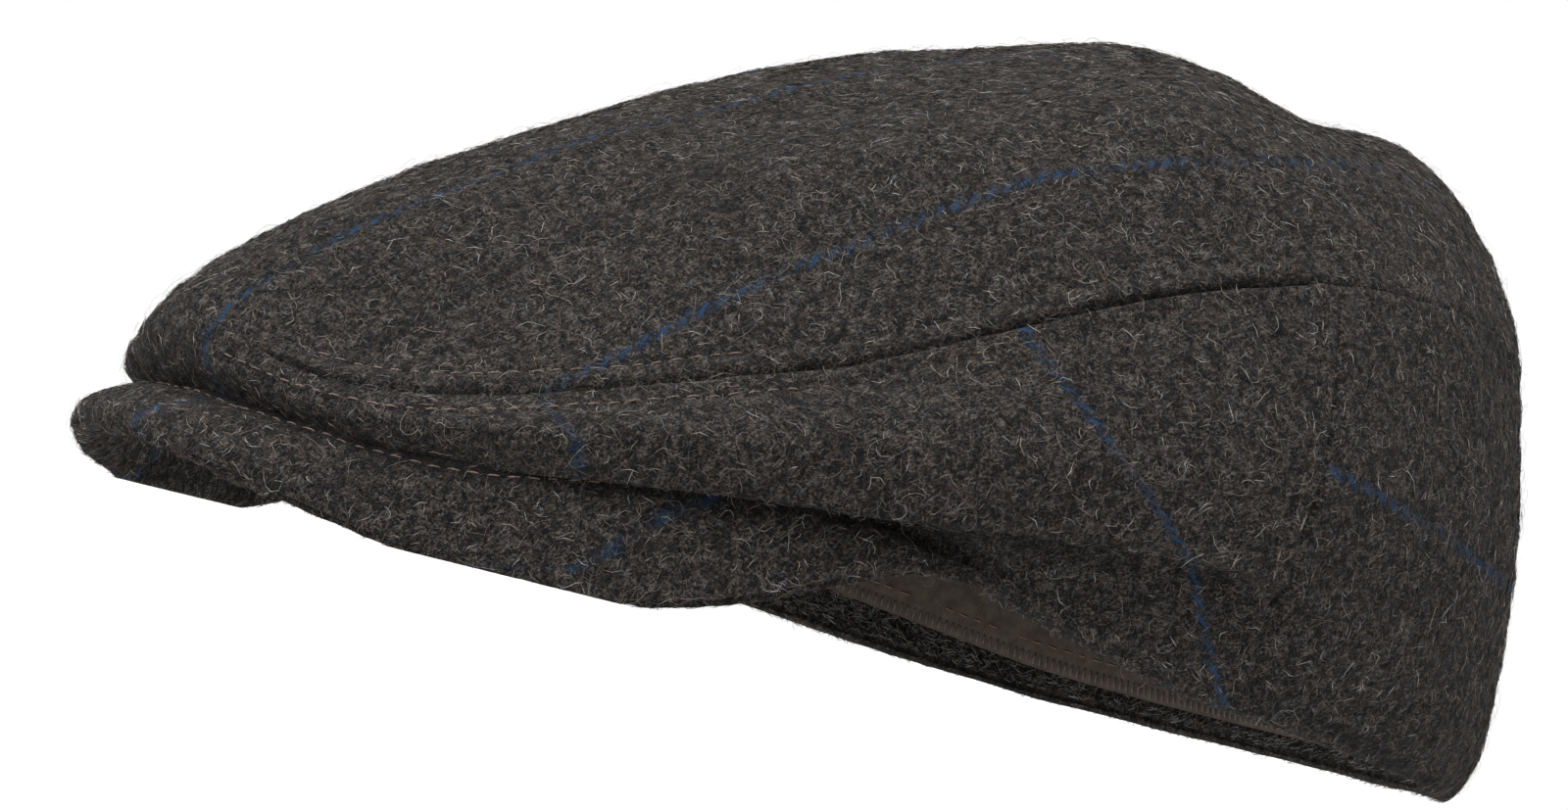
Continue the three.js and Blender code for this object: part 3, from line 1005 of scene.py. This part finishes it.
def tweed():
    cloth = Shading("tweed")
    speck = cloth.noise(0.6, roughness=0.7)
    grain = cloth.noise(1.7)
    patch = cloth.noise(6.0)
    tint = cloth.noise(3.0)

    def darkened(colour, share, tone):
        return cloth.mix(share, colour, (tone, tone, tone))

    ground = cloth.mix(cloth.ramp(tint, 0.40, 0.60), (0.018, 0.0133, 0.0103), (0.0156, 0.0156, 0.0163))
    ground = darkened(ground, cloth.ramp(grain, 0.36, 0.56, 0.85, 0.0), 0.004)
    ground = darkened(ground, cloth.ramp(speck, 0.38, 0.56, 0.80, 0.0), 0.003)
    ground = darkened(ground, cloth.ramp(patch, 0.40, 0.62, 0.0, 0.5), 0.005)
    layers = (
        {"turn": (0.4, 0.3, 0.2), "size": 0.40, "colour": (0.110, 0.097, 0.087), "weight": 0.60},
        {"turn": (1.3, 0.5, 1.4), "size": 0.44, "colour": (0.042, 0.032, 0.025), "weight": 0.70},
        {"turn": (0.8, 1.2, 2.5), "size": 0.54, "colour": (0.002, 0.002, 0.002), "weight": 0.92},
        {"turn": (2.1, 0.2, 0.9), "size": 0.42, "colour": (0.055, 0.052, 0.052), "weight": 0.65},
        {"turn": (1.7, 2.2, 0.1), "size": 0.50, "colour": (0.040, 0.029, 0.023), "weight": 0.60},
        {"turn": (0.1, 1.9, 1.1), "size": 0.42, "colour": (0.098, 0.089, 0.081), "weight": 0.55},
    )
    streak_stretch = 6.0
    streaks = []
    for layer in layers:
        streak = cloth.noise(layer["size"], detail=1.0, turn=layer["turn"], stretch=streak_stretch)
        streaks.append(cloth.ramp(streak, 0.55, 0.66))
        ground = cloth.mix(cloth.times(streaks[-1], layer["weight"]), ground, layer["colour"])
    ground = darkened(ground, cloth.ramp(grain, 0.38, 0.58, 0.72, 0.0), 0.004)
    # Twill ribs, and the stripes, which show only where their yarns come to the face
    rib_step = 1.9
    dash_raggedness, edge_raggedness = 1.8, 2.4
    slant = cloth.plus(*cloth.weave())
    rib = cloth.wave(slant, rib_step)
    breaks = cloth.plus(cloth.wave(slant, dash_step), cloth.times(grain, dash_raggedness))
    fading = cloth.ramp(cloth.noise(13.0), 0.38, 0.58, 0.25, 1.0)
    shows = cloth.times(cloth.ramp(breaks, 1.0, 1.6), fading)
    yarns = (
        {"line": "blue", "colour": (0.006, 0.014, 0.030), "width": 1.0, "weight": 0.38, "shown": fading},
        {"line": "blue", "colour": (0.010, 0.036, 0.080), "width": 0.75, "weight": 0.72, "shown": shows},
        {"line": "dark", "colour": (0.004, 0.004, 0.005), "width": 1.3, "weight": 0.42, "shown": 1.0},
    )
    for yarn in yarns:
        away = cloth.maths("ABSOLUTE", cloth.stored(yarn["line"]))
        ragged = cloth.plus(away, cloth.maths("MULTIPLY_ADD", speck, edge_raggedness, -edge_raggedness / 2))
        near = cloth.ramp(ragged, 0.5 * yarn["width"], 1.3 * yarn["width"], 1.0, 0.0)
        share = cloth.times(cloth.times(near, yarn["shown"]), yarn["weight"])
        ground = cloth.mix(share, ground, yarn["colour"])
    # Painted shade under the lip of the crown and in the groove of the peak
    ground = darkened(ground, cloth.times(cloth.stored("painted_shade"), painted_shade_strength), 0.004)
    speck_height, rib_height, streak_height = 0.9, 0.10, 0.35
    height = cloth.plus(cloth.times(speck, speck_height), cloth.times(rib, rib_height))
    for streak in streaks:
        height = cloth.plus(height, cloth.times(streak, streak_height))
    cloth.bump(height, strength=0.75, depth=0.4)
    return cloth.finish(ground, Roughness=0.95, Specular_IOR_Level=0.04, Sheen_Weight=0.03,
                        Sheen_Roughness=0.6)


def wool_fibre():
    hair = Shading("wool_fibre")
    scaled = hair.nodes.new("ShaderNodeVectorMath")
    scaled.operation = "SCALE"
    hair.links.new(hair.stored("wool", "Color"), scaled.inputs[0])
    hair.links.new(hair.ramp(hair.noise(0.6), 0.3, 0.7, 0.75, 1.25), scaled.inputs["Scale"])
    return hair.finish(scaled.outputs[0], Roughness=0.8, Specular_IOR_Level=0.1)


def lining_cloth():
    cloth = Shading("lining_cloth")
    thread_step = 0.7
    warp, weft = (cloth.wave(distance, thread_step) for distance in cloth.weave())
    tone = cloth.maths("MULTIPLY_ADD", cloth.times(warp, weft), 0.08, cloth.noise(2.4))
    colour = cloth.mix(cloth.ramp(tone, 0.25, 0.8), (0.038, 0.029, 0.022), (0.072, 0.057, 0.044))
    cloth.bump(tone, strength=0.5, depth=0.15)
    return cloth.finish(colour, Roughness=0.8, Specular_IOR_Level=0.2)


def thread(name, low, high):
    yarn = Shading(name)
    ply = yarn.noise(0.3, detail=1.0, turn=(0.6, 0.4, 0.9), stretch=4.0)
    yarn.bump(ply, strength=0.6, depth=0.1)
    return yarn.finish(yarn.mix(yarn.ramp(ply, 0.35, 0.65), low, high), Roughness=0.6)


# A white table lit from within, as for pictures of goods
def pale_floor():
    table = Shading("pale_floor")
    colour = table.mix(table.noise(900.0), (0.10, 0.10, 0.10), (0.12, 0.12, 0.12))
    return table.finish(colour, Roughness=0.9, Specular_IOR_Level=0.0, Emission_Color=(1, 1, 1),
                        Emission_Strength=1.1)


# The cap
tweed_cloth = tweed()
wool_hair = wool_fibre()
brown_thread = thread("brown_thread", (0.056, 0.035, 0.027), (0.130, 0.084, 0.064))
edge_thread = thread("edge_thread", (0.040, 0.030, 0.022), (0.090, 0.070, 0.052))
lining_thread = thread("lining_thread", (0.08, 0.060, 0.034), (0.16, 0.120, 0.070))

panels = {
    "top_panel": top_panel("crown_top", tweed_cloth),
    "side_panel_left": wall_panel("crown_side_left", 0, back_seam_angle, 150, side_stripes, tweed_cloth),
    "side_panel_right": wall_panel("crown_side_right", -back_seam_angle, 0, 150, side_stripes, tweed_cloth),
    "back_panel": wall_panel("crown_back", back_seam_angle, 360 - back_seam_angle, 220, back_stripes,
                             tweed_cloth),
    "peak": peak("peak_blade", tweed_cloth),
    "lining": lining("crown_lining", lining_cloth()),
}
for node, piece in panels.items():
    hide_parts(node)

sewing = []
for side in (-1, 1):
    for (start, end), away in ((upper_row, stitch_away), (lower_row, -stitch_away)):
        sewing += stitch_lines(*seam_row(side * start, side * end, away))
    sewing += stitch_lines(*upright_row(side, upright_stitch_away), upright_stitch_shown)
stitches("seam_stitches", sewing, brown_thread)
stitches("peak_stitches", stitch_lines(*peak_row(peak_row_step)), brown_thread)
stitches("lining_stitches", stitch_lines(*lining_row(lining_row_level)), lining_thread)
stitches("lining_overlock", overlock_lines(), edge_thread, radius=overlock_radius)

# The wool begins just off the seams
seam_away = 0.4  # degrees
top_cloth = {"face": crown_face, "stripes": top_stripes, "levels": (seam_level + 0.02, apex_level - 0.02)}
side_cloth = {"face": crown_face, "stripes": side_stripes, "levels": (0.02, seam_level - 0.03),
              "shade": painted_lip_shade}
# The wool of the back is darkened as painted shade
back_cloth = {"face": crown_face, "stripes": back_stripes, "levels": (0.02, seam_level), "painted_light_and_shade": 0.87}
# The wool of the peak is brightened as painted light
peak_cover = {"face": peak_cloth, "stripes": peak_stripes, "levels": (-5.5, 5.9), "shade": painted_groove_shade,
              "painted_light_and_shade": 1.2}
# Inside the hem the wool is denser and all pale, and brightened as painted light where little light reaches
hem_cloth = {"face": hem_face, "stripes": back_stripes, "levels": (0.02, 0.5), "pale": 1, "density": 2,
             "painted_light_and_shade": 2.6}
wool_rows = {
    "wool_top_front": {**top_cloth, "angles": (-90, 90)},
    "wool_top_back": {**top_cloth, "angles": (90, 270)},
    "wool_left": {**side_cloth, "angles": (0.5, back_seam_angle - seam_away)},
    "wool_right": {**side_cloth, "angles": (seam_away - back_seam_angle, -0.5)},
    "wool_back": {**back_cloth, "angles": (back_seam_angle + seam_away, 360 - seam_away - back_seam_angle)},
    "wool_peak": {**peak_cover, "angles": (1 - peak_end_angle, peak_end_angle - 1)},
    "wool_hem": {**hem_cloth, "angles": (70, 290)},
}
for seed, (name, row) in enumerate(wool_rows.items(), 31):
    wool(name, row, seed, wool_hair)

# Floor, light and camera
floor_radius = 9.0
floor_mesh = bpy.data.meshes.new("floor")
floor_turns = np.linspace(0, 2 * math.pi, 96, endpoint=False)
corners = [(floor_radius * math.cos(turn), floor_radius * math.sin(turn), 0) for turn in floor_turns]
floor_mesh.from_pydata(corners, [], [list(range(len(corners)))])
floor_mesh.materials.append(pale_floor())
floor = bpy.data.objects.new("floor", floor_mesh)
bpy.context.scene.collection.objects.link(floor)

world = bpy.data.worlds.new("studio")
world.use_nodes = True
world.node_tree.nodes["Background"].inputs["Color"].default_value = (1, 1, 1, 1)
world.node_tree.nodes["Background"].inputs["Strength"].default_value = 1.0
bpy.context.scene.world = world


# Two wide soft lights: one from above, and one from the front on the wearer's left
def soft_sun(name, direction, spread, strength):
    light = bpy.data.lights.new(name, "SUN")
    light.angle = math.radians(spread)
    light.energy = strength
    lamp = bpy.data.objects.new(name, light)
    lamp.rotation_mode = "QUATERNION"
    lamp.rotation_quaternion = Vector(direction).to_track_quat("Z", "Y")
    bpy.context.scene.collection.objects.link(lamp)


soft_sun("top_light", direction=(-0.15, -0.3, 1), spread=70, strength=2.0)
soft_sun("front_light", direction=(0.35, -0.75, 0.55), spread=50, strength=2.7)

# Camera at the photograph's angle to the cap, just above the floor: degrees, millimetres from the middle of
# the rim, and the focal length in pixels of the photograph
photo_width = 1600
camera_turn = 54
camera_distance = 800
camera_height = 2.5
aim_across = -20.7
aim_height = 38.9
camera_roll = 13.9
focal_pixels = 4846
turn, roll = math.radians(camera_turn), math.radians(camera_roll)
camera_place = Vector((math.sin(turn) * camera_distance, -math.cos(turn) * camera_distance, camera_height))
aim = Vector((math.cos(turn) * aim_across, math.sin(turn) * aim_across, aim_height))
forward = (aim - camera_place).normalized()
right = forward.cross(Vector((0, 0, 1))).normalized()
up = right.cross(forward)
rolled_right = right * math.cos(roll) + up * math.sin(roll)
rolled_up = up * math.cos(roll) - right * math.sin(roll)
lens = bpy.data.cameras.new("camera")
lens.sensor_width = 36
lens.lens = focal_pixels / photo_width * lens.sensor_width
lens.clip_start = 0.01
lens.clip_end = 100
camera = bpy.data.objects.new("camera", lens)
axes = Matrix((rolled_right, rolled_up, -forward)).transposed().to_4x4()
camera.matrix_world = Matrix.Translation((camera_place + Vector(rim_centre)) / 1000) @ axes
bpy.context.scene.collection.objects.link(camera)
bpy.context.scene.camera = camera
bpy.context.scene.view_settings.view_transform = "Standard"
